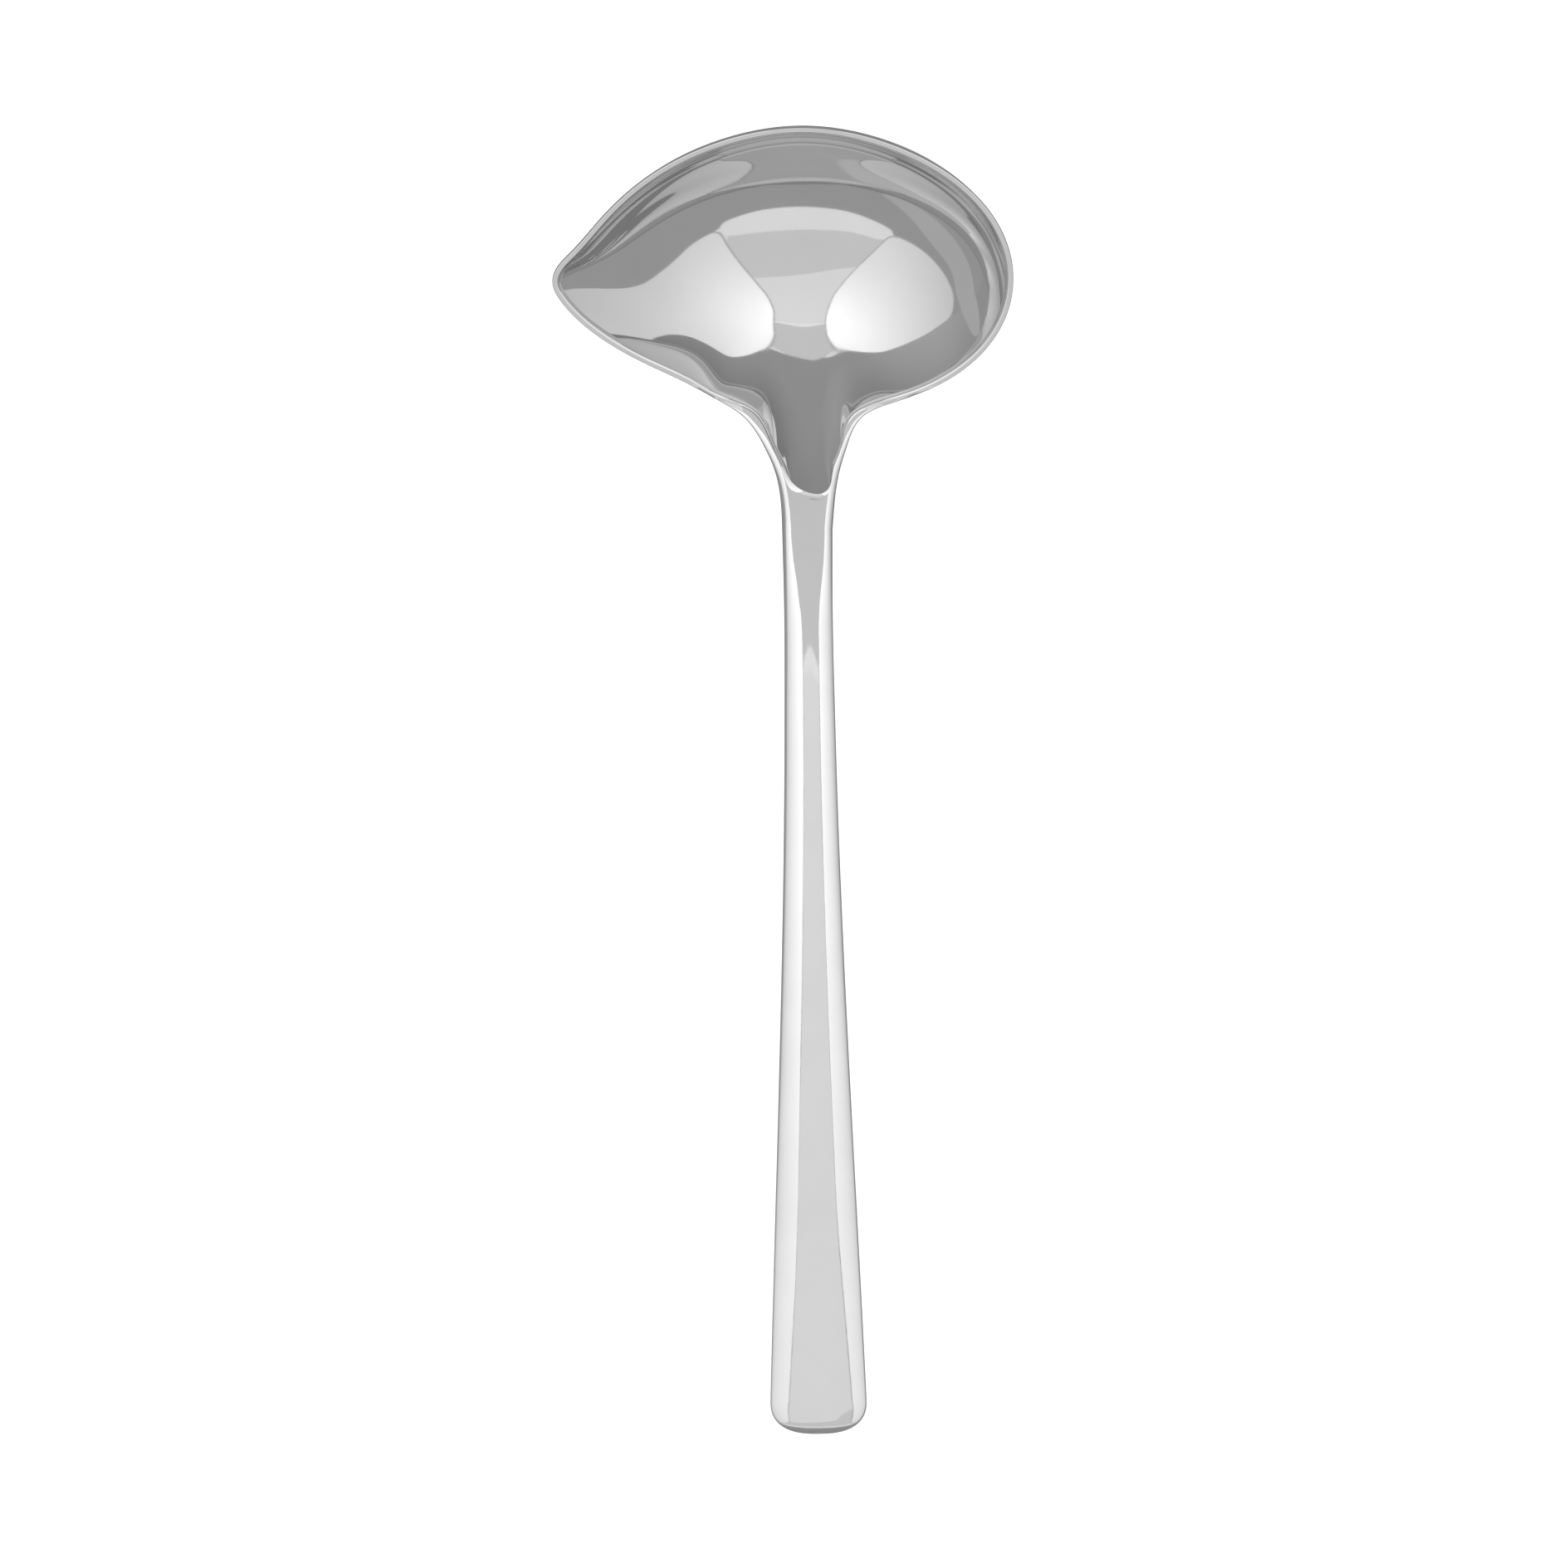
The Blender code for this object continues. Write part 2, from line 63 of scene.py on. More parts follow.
# Metres in the plane of the rim, from the bowl's axis, which stands on the handle's line
RIGHT_REACH = 0.0297
LIP_REACH = 0.0356
FAR_REACH = 0.0257
NEAR_REACH = 0.0192
BOWL_DEPTH = 0.0122
WALL = 0.0012
WALL_SWEEP = math.radians(80)  # how far round its arc the wall has turned at the far rim
NEAR_SWEEP = math.radians(58)  # and at the near rim, where it runs out flatter to the neck
BOWL_TILT = math.radians(28)  # the far side of the rim is raised by this
REACH_EASE = 3  # the higher, the nearer the rim the wall starts to run out into lip and neck
RISE_EASE = 3.6  # the same for the climb into the neck
EVENING = math.radians(24)  # how widely lip and neck blend into the bowl towards its floor
EVENING_STEP = math.radians(0.5)
RIM_WIDTH = 0.0010
RIM_CROWN = 0.0004  # height of the rim's rounded top over its outer edge
JOINT_DISTANCE = 0.0335  # bowl's axis to the joint, seen from above
JOINT_HEIGHT = -0.0068  # of the neck's edge line there, over the middle of the bowl's opening
JOINT_WIDTH = 0.00716
JOINT_THICKNESS = 0.0044
RISE_AT_JOINT = 0.14  # slope of the handle where it leaves the neck, upwards
SLOPE_AT_RIM = -0.15  # of the neck's edge where it runs into the rim
SECTION_POWER = 6.0  # of the neck and handle: 2 is an ellipse, more is squarer
NECK_ROOT_HALF_WIDTH = 0.0122
HOLLOW_ROUNDING = 0.0001
EDGE_DROP = 0.8  # how far the rounding inside rim and hollow goes down, for each step in
BELLY_SHARE = 0.8  # of the neck's half width, where its side turns into its underside
BELLY_FADE = (1, 0.94, 0.78, 0.5, 0.22)  # how much of that side is left at each neck knot
UPRIGHT_AT_ROOT = 0.6  # of the neck's way up there, the rest is square to the rim
KNEE_LENGTH = 0.0155  # of the underside that is lifted to meet the handle with no corner
KNEE_LIFT = 0.74
KNEE_POWER = 8  # the lift is even across the neck and falls off at its sides
SHARP_DEGREES = 50

# The rim's outer edge in shares of the four reaches, from the neck's right root round by the far
# side and the lip to its left root
RIM_SHARES = (
    (0.411, -0.925), (0.660, -0.759), (0.862, -0.492), (0.976, -0.144), (0.990, 0.155),
    (0.906, 0.433), (0.675, 0.724), (0.366, 0.916), (0.000, 1.000), (-0.317, 0.926),
    (-0.577, 0.749), (-0.787, 0.487), (-0.927, 0.254), (-0.991, 0.137), (-1.000, 0.080),
    (-0.966, -0.058), (-0.857, -0.289), (-0.622, -0.588), (-0.478, -0.733), (-0.343, -0.890),
)
# The neck's sides from the joint to the rim: shares of the way along, and of the flare
NECK_ALONG = (0.0, 0.197, 0.449, 0.646, 0.876)
NECK_RIGHT = (0.0, 0.037, 0.121, 0.248, 0.484)
NECK_LEFT = (0.0, 0.014, 0.105, 0.282, 0.617)
# The hollow's edge on each side and at its blunt end: share of the way along, and of the half width
HOLLOW_RIGHT = ((0.288, 0.557), (0.331, 0.760), (0.444, 0.793), (0.624, 0.866), (0.871, 0.825))
HOLLOW_LEFT = ((0.320, 0.310), (0.376, 0.554), (0.478, 0.690), (0.629, 0.777), (0.904, 0.770))
HOLLOW_TIP = (0.290, 0.100)

BOWL_COLUMNS_PER_SPAN = 16
BOWL_RINGS = 64
FILLET_ROWS = 6
BAND_ROWS = 12
BELLY_ROWS = 6


def spline(knots, per_span, closed=False):
    """A curvature-continuous curve through the knots."""
    knots = np.array(knots, float)
    if closed:
        knots = np.vstack([knots, knots[:1]])
    spans = np.linalg.norm(np.diff(knots, axis=0), axis=1)
    count = len(spans)
    system = np.zeros((count + 1, count + 1))
    target = np.zeros((count + 1, knots.shape[1]))
    chords = np.diff(knots, axis=0) / spans[:, None]
    for i in range(1, count):
        system[i, i - 1 : i + 2] = spans[i - 1], 2 * (spans[i - 1] + spans[i]), spans[i]
        target[i] = 6 * (chords[i] - chords[i - 1])
    if closed:
        system[0, [0, count]] = 1, -1
        system[count, [0, 1]] = 2 * spans[0], spans[0]
        system[count, [count - 1, count]] = spans[-1], 2 * spans[-1]
        target[count] = 6 * (chords[0] - chords[-1])
    else:
        system[0, 0] = system[count, count] = 1
    bends = np.linalg.solve(system, target)
    points = []
    for i, span in enumerate(spans):
        for share in np.arange(per_span) / per_span:
            back = 1 - share
            line = back * knots[i] + share * knots[i + 1]
            bow = (back**3 - back) * bends[i] + (share**3 - share) * bends[i + 1]
            points.append(line + bow * span**2 / 6)
    if not closed:
        points.append(knots[-1])
    return np.array(points)


def smooth(share):
    """From 0 to 1 with no slope at either."""
    return share**2 * (3 - 2 * share)


def eased(values, per_span):
    """Values round a closed loop, going from each to the next with no corner at either."""
    values = np.array(values, float)
    share = smooth(np.arange(per_span) / per_span)
    return (values[:, None] + (np.roll(values, -1) - values)[:, None] * share).ravel()


def hermite(start, start_slope, end, end_slope, length, share):
    """A value between two ends with the slope given at each."""
    rise = start_slope * (share - 2 * share**2 + share**3) + end_slope * (share**3 - share**2)
    return start + (end - start) * (3 * share**2 - 2 * share**3) + length * rise


def from_rim(points):
    """From the tilted rim's axes to upright ones, both with their origin in the opening."""
    across, along, up = np.moveaxis(np.asarray(points, float), -1, 0)
    cos, sin = math.cos(BOWL_TILT), math.sin(BOWL_TILT)
    return np.stack([across, along * cos - up * sin, along * sin + up * cos], axis=-1)


def to_rim(points):
    """From upright axes back to the tilted rim's."""
    across, along, up = np.moveaxis(np.asarray(points, float), -1, 0)
    cos, sin = math.cos(BOWL_TILT), math.sin(BOWL_TILT)
    return np.stack([across, along * cos + up * sin, up * cos - along * sin], axis=-1)


def oval(share, power=SECTION_POWER):
    """Height of a section of unit crown at a share of its half width."""
    return (1 - np.clip(np.abs(share), 0, 1) ** power) ** (1 / power)


def rim_knots():
    """The rim's outer edge, from the neck's right root to its left one."""
    knots = []
    for across, along in RIM_SHARES:
        reach = RIGHT_REACH if across > 0 else LIP_REACH
        depth = FAR_REACH if along > 0 else NEAR_REACH
        knots.append((across * reach, along * depth, -RIM_CROWN))
    knots[0] = (NECK_ROOT_HALF_WIDTH, knots[0][1], -RIM_CROWN)
    knots[-1] = (-NECK_ROOT_HALF_WIDTH, knots[-1][1], -RIM_CROWN)
    return from_rim(knots)


def neck_height(root, along):
    """Height of the neck's edge at a share of the way from the joint to its root in the rim."""
    run = JOINT_DISTANCE + root[1]
    return hermite(JOINT_HEIGHT, -RISE_AT_JOINT, root[2], SLOPE_AT_RIM, run, along)


def neck_crown(along):
    """Height of the neck's middle over its edge, from the handle's down to the rim's."""
    return JOINT_THICKNESS / 2 + (RIM_CROWN - JOINT_THICKNESS / 2) * smooth(along)


def neck_top(points, right, left):
    """Height of the neck's crowned top over each point seen from above."""
    run = JOINT_DISTANCE + right[-1][1]
    along = np.clip((points[:, 1] + JOINT_DISTANCE) / run, 0, 1)
    crown = neck_crown(along) * oval(across_share(points, right, left))
    return neck_height(right[-1], along) + crown


def across_share(points, right, left):
    """How far each point is from the neck's middle, as a share of the neck's half width there."""
    right_half = np.interp(points[..., 1], right[:, 1], right[:, 0])
    left_half = -np.interp(points[..., 1], left[:, 1], left[:, 0])
    half = np.where(points[..., 0] > 0, right_half, left_half)
    return np.clip(np.abs(points[..., 0]) / half, 0, 1)


def neck_side(root, flares):
    """One side of the neck from the joint to the knot before its root, wider by each flare."""
    side = math.copysign(1, root[0])
    run = JOINT_DISTANCE + root[1]
    half = JOINT_WIDTH / 2
    knots = []
    for along, flare in zip(NECK_ALONG, flares):
        across = side * (half + flare * (abs(root[0]) - half))
        knots.append((across, along * run - JOINT_DISTANCE, neck_height(root, along)))
    return knots


def hollow_side(root, side_knots, shares):
    """One side of the hollow's edge, on the neck's crowned top."""
    run = JOINT_DISTANCE + root[1]
    fine = spline([*side_knots, root], BOWL_COLUMNS_PER_SPAN)
    knots = []
    for along, share in shares:
        y = along * run - JOINT_DISTANCE
        half = np.interp(y, fine[:, 1], fine[:, 0])
        crown = neck_crown(along)
        knots.append((share * half, y, neck_height(root, along) + crown * oval(share)))
    return knots


def inward(edge):
    """Unit steps in from a closed edge, square to it and level with the rim."""
    flat = to_rim(edge)
    step = (np.roll(flat, -1, axis=0) - np.roll(flat, 1, axis=0))[:, :2]
    step /= np.linalg.norm(step, axis=1)[:, None]
    return from_rim(np.stack([-step[:, 1], step[:, 0], np.zeros(len(step))], axis=1))


def base_reach(turn, wall):
    """Reach of the plain oval that the bowl has under its lip and neck, in one direction."""
    half_across = RIGHT_REACH - RIM_WIDTH + wall
    half_along = (FAR_REACH + NEAR_REACH) / 2 - RIM_WIDTH + wall
    shift = (FAR_REACH - NEAR_REACH) / 2
    cos, sin = np.cos(turn), np.sin(turn)
    square = (cos / half_across) ** 2 + (sin / half_along) ** 2
    middle = sin * shift / half_along**2
    rest = (shift / half_along) ** 2 - 1
    return (middle + np.sqrt(middle**2 - square * rest)) / square


def evened(turn, values, share):
    """The edge's values as the surface feels them further in, evened out around the bowl."""
    if share == 1:
        return values
    around = np.arange(0, 2 * math.pi, EVENING_STEP)
    order = np.argsort(turn)
    dense = np.interp(around, turn[order], values[order], period=2 * math.pi)
    apart = (around[None, :] - turn[:, None] + math.pi) % (2 * math.pi) - math.pi
    weights = np.exp(-((apart / (EVENING * (1 - share))) ** 2) / 2)
    return weights @ dense / weights.sum(axis=1)


def shell(edge, wall):
    """The middle of the bowl's floor, and rings from it out to the edge."""
    edge = to_rim(edge)
    turn = np.arctan2(edge[:, 1], edge[:, 0])
    reach = np.hypot(edge[:, 0], edge[:, 1])
    base = base_reach(turn, wall)
    depth = BOWL_DEPTH + wall
    sweep = WALL_SWEEP + (NEAR_SWEEP - WALL_SWEEP) * ((1 - np.sin(turn)) / 2) ** 2
    full = 1 - np.cos(sweep)
    rings = []
    for share in np.arange(1, BOWL_RINGS + 1) / BOWL_RINGS:
        angle = share * sweep
        drawn = evened(turn, reach - base, share) * share**REACH_EASE
        raised = evened(turn, edge[:, 2], share) * share**RISE_EASE
        out = base * np.sin(angle) / np.sin(sweep) + drawn
        up = depth * ((1 - np.cos(angle)) / full - 1) + raised
        rings.append(np.stack([out * np.cos(turn), out * np.sin(turn), up], axis=1))
    return from_rim((0.0, 0.0, -depth)), from_rim(rings)


def knee(points, right, left):
    """How far the neck's underside is lifted, so that it leaves the handle with no corner."""
    share = (points[..., 1] + JOINT_DISTANCE) / KNEE_LENGTH
    lift = KNEE_LIFT * KNEE_LENGTH * share * (1 - share) ** 2
    lift[(share < 0) | (share > 1)] = 0
    return lift * (1 - across_share(points, right, left) ** KNEE_POWER)


columns = BOWL_COLUMNS_PER_SPAN
rim = rim_knots()
right_side = neck_side(rim[0], NECK_RIGHT)
left_side = neck_side(rim[-1], NECK_LEFT)
turns = np.linspace(-1, 1, 2 * columns + 1)[1:-1]
joint_shares = np.sin(turns * math.pi / 2)
joint_edge = np.zeros((len(turns), 3))
joint_edge[:, 0] = joint_shares * JOINT_WIDTH / 2
joint_edge[:, 1] = -JOINT_DISTANCE
joint_edge[:, 2] = JOINT_HEIGHT
outer_edge = np.vstack([spline([*right_side, *rim, *left_side[::-1]], columns), joint_edge])
outer_in = inward(outer_edge)
rim_up = from_rim((0.0, 0.0, 1.0))

neck_knots = len(NECK_ALONG)
rim_count = len(rim)
rim_at = np.arange(neck_knots, neck_knots + rim_count) * columns
rim_crest = outer_edge[rim_at] + outer_in[rim_at] * RIM_WIDTH / 2 + rim_up * RIM_CROWN
right_hollow = hollow_side(rim[0], right_side, HOLLOW_RIGHT)
left_hollow = hollow_side(rim[-1], left_side, HOLLOW_LEFT)
tip_along, tip_across = HOLLOW_TIP
tip_up = neck_height(rim[0], tip_along) + neck_crown(tip_along) * oval(tip_across)
tip_y = tip_along * (JOINT_DISTANCE + rim[0][1]) - JOINT_DISTANCE
hollow_tip = (tip_across * JOINT_WIDTH / 2, tip_y, tip_up)
crest = spline([*right_hollow, *rim_crest, *left_hollow[::-1], hollow_tip], columns, closed=True)


def round_loop(right, rim_value, left, tip):
    """One value per column: along the right side, the rim, the left side and the end."""
    return eased([*right, *[rim_value] * rim_count, *left[::-1], tip], columns)


hollow_right_shares = [share for _, share in HOLLOW_RIGHT[:-1]] + [0.5]
hollow_left_shares = [share for _, share in HOLLOW_LEFT[:-1]] + [0.5]
crest_share = round_loop(hollow_right_shares, 0.0, hollow_left_shares, tip_across)
crest_crown = round_loop(
    [neck_crown(along) for along, _ in HOLLOW_RIGHT],
    RIM_CROWN,
    [neck_crown(along) for along, _ in HOLLOW_LEFT],
    neck_crown(tip_along),
)
side_crowns = [neck_crown(along) for along in NECK_ALONG]
edge_crown = round_loop(side_crowns, RIM_CROWN, side_crowns, JOINT_THICKNESS / 2)
edge_share = np.ones(len(outer_edge))
joint_columns = np.arange(len(outer_edge) - len(joint_edge), len(outer_edge))
edge_share[joint_columns] = np.abs(joint_shares)
edge_crown[joint_columns] = JOINT_THICKNESS / 2
uprights = [1.0] * (neck_knots - 1) + [UPRIGHT_AT_ROOT]
upright = round_loop(uprights, 0.0, uprights, 1.0)[:, None]
up = upright * np.array((0.0, 0.0, 1.0)) + (1 - upright) * rim_up
up /= np.linalg.norm(up, axis=1)[:, None]
fillets = [HOLLOW_ROUNDING] * (neck_knots - 1) + [RIM_WIDTH / 4]
fillet = round_loop(fillets, RIM_WIDTH / 2, fillets, HOLLOW_ROUNDING)[:, None]
half_widths = [JOINT_WIDTH / 2 * left for left in BELLY_FADE]
half_depths = [JOINT_THICKNESS / 2 * left for left in BELLY_FADE]
belly_half = round_loop(half_widths, RIM_WIDTH / 4, half_widths, JOINT_WIDTH / 2)[:, None]
belly_deep = round_loop(half_depths, RIM_CROWN / 2, half_depths, JOINT_THICKNESS / 2)[:, None]

right_line = spline([*right_side, rim[0]], columns)
left_line = spline([*left_side, rim[-1]], columns)
crest_in = inward(crest)
inner_edge = crest + (crest_in - up * EDGE_DROP) * fillet
crest_base = crest - up * (crest_crown * oval(crest_share))[:, None]
bowl_floor, inner_rings = shell(inner_edge, 0.0)
bowl_rows = list(inner_rings)
for turn in np.linspace(0, math.pi / 2, FILLET_ROWS)[1:]:
    step = crest_in * (1 - math.cos(turn)) - up * EDGE_DROP * math.sin(turn)
    bowl_rows.append(inner_edge - step * fillet)
for part in np.sin(np.linspace(0, math.pi / 2, BAND_ROWS + 1))[1:]:
    share = crest_share + (edge_share - crest_share) * part
    crown = crest_crown + (edge_crown - crest_crown) * part
    lift = up * (crown * oval(share))[:, None]
    row = crest_base + (outer_edge - crest_base) * part + lift
    crowned = neck_top(row, right_line, left_line)
    row[:, 2] += upright[:, 0] * (crowned - row[:, 2])
    bowl_rows.append(row)
across_in = np.zeros_like(outer_in)
across_in[:, 0] = -np.sign(outer_edge[:, 0])
belly_in = outer_in * (1 - upright) + across_in * upright
belly_in /= np.maximum(np.linalg.norm(belly_in, axis=1), 1e-9)[:, None]
joint_top = bowl_rows[-1][joint_columns]
joint_bottom = joint_edge * (BELLY_SHARE, 1, 1)
joint_bottom[:, 2] -= JOINT_THICKNESS / 2 * oval(joint_shares * BELLY_SHARE)
for turn in np.linspace(0, 1, BELLY_ROWS + 1)[1:]:
    share = 1 - (1 - BELLY_SHARE) * (1 - math.cos(turn * math.pi / 2))
    row = outer_edge + belly_in * belly_half * (1 - share) - up * belly_deep * oval(share)
    row[joint_columns] = joint_top + (joint_bottom - joint_top) * turn
    bowl_rows.append(row)
underside_middle, underside = shell(bowl_rows[-1], WALL)
underside = underside[::-1][1:]
underside[..., 2] += knee(underside, right_line, left_line)
bowl_rows += list(underside)
bowl_rows = np.array(bowl_rows)


def net(name, rows, first_middle, last_middle):
    """A closed mesh of rings, with a point or a flat face at each end."""
    count, around = rows.shape[:2]
    points = rows.reshape(-1, 3).tolist()
    faces = []
    for ring in range(count - 1):
        for i in range(around):
            j = (i + 1) % around
            low, high = ring * around, (ring + 1) * around
            faces.append((low + i, low + j, high + j, high + i))
    for ring, middle, turned in ((0, first_middle, True), (count - 1, last_middle, False)):
        loop = [ring * around + i for i in range(around)]
        if middle is None:
            faces.append(loop[::-1] if turned else loop)
            continue
        points.append(tuple(middle))
        centre = len(points) - 1
        for i in range(around):
            pair = (loop[i], loop[(i + 1) % around])
            faces.append((centre, *pair[::-1]) if turned else (centre, *pair))
    data = bpy.data.meshes.new(name)
    data.from_pydata(points, [], faces)
    data.validate()
    data.shade_smooth()
    data.set_sharp_from_angle(angle=math.radians(SHARP_DEGREES))
    piece = bpy.data.objects.new(name, data)
    bpy.context.scene.collection.objects.link(piece)
    return piece


bowl_low, bowl_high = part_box("bowl")
own_low = bowl_rows.reshape(-1, 3).min(axis=0)
own_high = bowl_rows.reshape(-1, 3).max(axis=0)
place = np.array((bowl_low[0] - own_low[0], *(np.array(bowl_high) - own_high)[1:]))
bowl_rows += place
bowl_floor += place
underside_middle += place
table_height = 0.0
bowl_rows[..., 2] = np.maximum(bowl_rows[..., 2], table_height)
underside_middle[2] = max(underside_middle[2], table_height)
bowl = net("silver_bowl", bowl_rows, bowl_floor, underside_middle)


def linear(colour):
    """An sRGB hex colour as linear red, green, blue and alpha."""
    parts = []
    for start in (1, 3, 5):
        value = int(colour[start : start + 2], 16) / 255
        parts.append(value / 12.92 if value <= 0.04045 else ((value + 0.055) / 1.055) ** 2.4)
    return (*parts, 1.0)


def node(tree, kind, settings, links):
    """Adds a node with its settings; a link is from another node's output to an input here."""
    made = tree.nodes.new(kind)
    for key, value in settings.items():
        if isinstance(key, int) or key in made.inputs:
            made.inputs[key].default_value = value
        else:
            setattr(made, key, value)
    for key, (source, output) in links.items():
        tree.links.new(source.outputs[output], made.inputs[key])
    return made


SILVER_HIGH = "#F1F1F1"
SILVER_LOW = "#E9E9E9"
BOWL_GRAIN = (3000.0, 3000.0, 900.0)  # buffing lines to a metre each way: they run up the wall


def polished_silver(name, grain):
    """Sterling silver, buffed to a mirror. The wheel leaves lines about 0.3 mm apart, too faint to
    see head on, and use leaves hairline scratches: both only soften a reflection's edge."""
    material = bpy.data.materials.new(name)
    material.use_nodes = True
    tree = material.node_tree
    shader = tree.nodes["Principled BSDF"]
    shader.inputs["Metallic"].default_value = 1.0
    spot = node(tree, "ShaderNodeTexCoord", {}, {})
    stretched = node(tree, "ShaderNodeMapping", {"Scale": grain}, {"Vector": (spot, "Object")})
    lines = node(
        tree, "ShaderNodeTexNoise", {"Scale": 1.0, "Detail": 4.0, "Roughness": 0.6},
        {"Vector": (stretched, "Vector")},
    )
    cloud = node(
        tree, "ShaderNodeTexNoise", {"Scale": 140.0, "Detail": 3.0}, {"Vector": (spot, "Object")}
    )
    tone = node(
        tree, "ShaderNodeMix",
        {"data_type": "RGBA", 6: linear(SILVER_LOW), 7: linear(SILVER_HIGH)},
        {0: (cloud, "Fac")},
    )
    tree.links.new(tone.outputs[2], shader.inputs["Base Color"])
    haze = node(
        tree, "ShaderNodeMapRange",
        {"From Min": 0.35, "From Max": 0.75, "To Min": 0.035, "To Max": 0.075},
        {"Value": (lines, "Fac")},
    )
    tree.links.new(haze.outputs["Result"], shader.inputs["Roughness"])
    wave = node(
        tree, "ShaderNodeTexNoise", {"Scale": 90.0, "Detail": 1.0}, {"Vector": (spot, "Object")}
    )
    waves = node(tree, "ShaderNodeBump", {"Strength": 0.25, "Distance": 0.00004}, {"Height": (wave, "Fac")})
    relief = node(
        tree, "ShaderNodeBump", {"Strength": 0.12, "Distance": 0.000003},
        {"Height": (lines, "Fac"), "Normal": (waves, "Normal")},
    )
    tree.links.new(relief.outputs["Normal"], shader.inputs["Normal"])
    return material


bowl.data.materials.append(polished_silver("polished_silver_bowl", BOWL_GRAIN))
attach(bowl, "root")
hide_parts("bowl")

# ---- Handle ----
# A solid silver bar forged to a taper: narrow and deep at the neck, broad and flat at its rounded
# end. It arches up from the neck and comes down to the table, and is brazed on end to the neck.

HANDLE_LENGTH = 0.1284
WAIST_WIDTH = 0.0069
END_WIDTH = 0.0140
WAIST_THICKNESS = 0.0046
END_THICKNESS = 0.0034
TAPER_SHARES = np.array((0.0, 0.085, 0.22, 1.0))  # the joint, the waist twice and the end
WAIST_SPREAD = 1.05  # how much wider the waist's second place is
FALL_AT_END = 0.18  # slope of the handle at its end, downwards
END_ROUNDING = 0.0050
END_POWER = 2.5  # outline of the rounded end: 2 is an ellipse, more is squarer
END_FACE = 0.00002  # left uncut at the very end, to close the mesh
CROWN_SLOPE = 0.27  # of the broad crown over and under the handle, at its edges
CROWN_LIMIT = 0.4  # of the half thickness
SIDE_SHARE = 0.35  # of the half thickness: the upright part of the sides
GROWTH_SHARE = 0.12  # of the length, in which crown and sides grow from none at the joint
HANDLE_STATIONS = 240
CAP_STATIONS = 28
HANDLE_AROUND = 96
HANDLE_GRAIN = (3400.0, 260.0, 3400.0)  # buffing lines to a metre: they run along the handle


def through(shares, values, share):
    """A smooth curve through the values, read at a share."""
    slopes = np.gradient(values, shares)
    i = int(np.clip(np.searchsorted(shares, share, side="right") - 1, 0, len(shares) - 2))
    length = shares[i + 1] - shares[i]
    part = (share - shares[i]) / length
    return hermite(values[i], slopes[i], values[i + 1], slopes[i + 1], length, part)


def handle_rows(end_height):
    """Sections along the arched handle: upright sides, rounded edges, a crown over and under."""
    widths = np.array((JOINT_WIDTH, WAIST_WIDTH, WAIST_WIDTH * WAIST_SPREAD, END_WIDTH))
    depths = np.array((JOINT_THICKNESS, WAIST_THICKNESS, WAIST_THICKNESS, END_THICKNESS))
    straight = np.linspace(0, HANDLE_LENGTH - END_ROUNDING, HANDLE_STATIONS)
    cap = np.linspace(0, math.pi / 2, CAP_STATIONS)[1:-1]
    rounded = HANDLE_LENGTH - END_ROUNDING * (1 - np.sin(cap))
    angles = np.arange(HANDLE_AROUND) * 2 * math.pi / HANDLE_AROUND
    cos, sin = np.round(np.cos(angles), 12), np.round(np.sin(angles), 12)
    across = np.sign(cos) * np.abs(cos) ** (2 / SECTION_POWER)
    rows = []
    for distance in (*straight, *rounded, HANDLE_LENGTH - END_FACE):
        share = distance / HANDLE_LENGTH
        height = hermite(
            JOINT_HEIGHT, RISE_AT_JOINT, end_height, -FALL_AT_END, HANDLE_LENGTH, share
        )
        half_width = through(TAPER_SHARES, widths, share) / 2
        half_depth = through(TAPER_SHARES, depths, share) / 2
        left = HANDLE_LENGTH - distance
        if left < END_ROUNDING:
            half_width *= oval(1 - left / END_ROUNDING, END_POWER)
        if left < half_depth:
            half_depth *= oval(1 - left / half_depth, 2)
        grown = smooth(min(share / GROWTH_SHARE, 1.0))
        side = SIDE_SHARE * half_depth * grown
        crown = min(CROWN_SLOPE / 2 * half_width, CROWN_LIMIT * half_depth) * grown
        edge = (half_depth - side - crown) * np.abs(sin) ** (2 / SECTION_POWER)
        rise = np.sign(sin) * (side + edge + crown * (1 - across**2))
        y = np.full(HANDLE_AROUND, -JOINT_DISTANCE - distance)
        rows.append(np.stack([across * half_width, y, height + rise], axis=1))
    return np.array(rows)


table = table_height - place[2]
trial = handle_rows(table + END_THICKNESS / 2)
rows = handle_rows(table + END_THICKNESS / 2 + table - trial[..., 2].min()) + place
handle = net("silver_handle", rows, None, rows[-1].mean(axis=0))
handle.data.materials.append(polished_silver("polished_silver_handle", HANDLE_GRAIN))
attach(handle, "root")
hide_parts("handle")

# ---- Table ----
# A plain white table top. It is lit evenly enough to leave no more than a faint contact shadow,
# and polished metal sees it as the grey that white card is away from the lamps.

TABLE_HALF = 2.0
TABLE_GLOW = 0.78  # added where the table itself is seen, so that it stays white and even
corners = [(-1, -1), (1, -1), (1, 1), (-1, 1)]
floor_data = bpy.data.meshes.new("table_top")
floor_points = [(x * TABLE_HALF, y * TABLE_HALF, table_height) for x, y in corners]
floor_data.from_pydata(floor_points, [], [(0, 1, 2, 3)])
floor = bpy.data.objects.new("table_top", floor_data)
bpy.context.scene.collection.objects.link(floor)
white = bpy.data.materials.new("white_card")
white.use_nodes = True
tree = white.node_tree
tree.nodes.clear()
seen = node(tree, "ShaderNodeLightPath", {}, {})
paper = node(tree, "ShaderNodeBsdfDiffuse", {"Color": linear("#F4F4F4")}, {})
glow = node(tree, "ShaderNodeEmission", {"Color": linear("#FFFFFF"), "Strength": TABLE_GLOW}, {})
